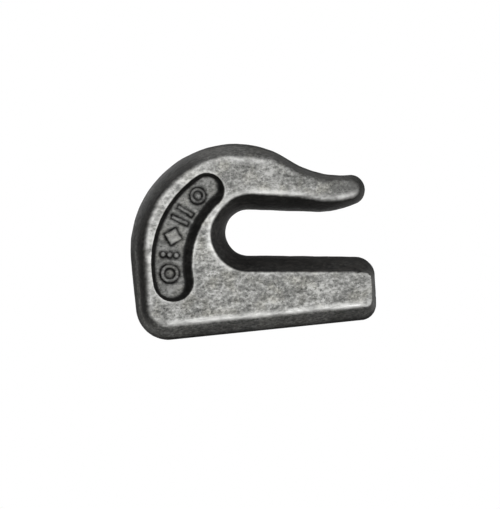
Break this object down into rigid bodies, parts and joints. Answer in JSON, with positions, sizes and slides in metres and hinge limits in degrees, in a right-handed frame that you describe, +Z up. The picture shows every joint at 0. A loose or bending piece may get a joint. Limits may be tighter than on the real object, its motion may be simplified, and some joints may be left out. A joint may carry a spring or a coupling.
{
  "type": "safety chain hook",
  "caption": "Forged weld-on grab hook with a narrow slot that holds a safety chain's link, and a flat base and back to weld it on by.",
  "frame": {"origin": "on the flat weld base, in the middle of the length and of the thickness", "axes": "+X along the base towards the mouth of the slot, +Y through the thickness, +Z up from the weld base"},
  "size_m": [0.0586, 0.017, 0.0459],
  "materials": {
    "forged_steel": "shot-blasted mill scale, dark grey, rough"
  },
  "bodies": {
    "root": {"forged_hook": "forged_steel"}
  },
  "joints": []
}
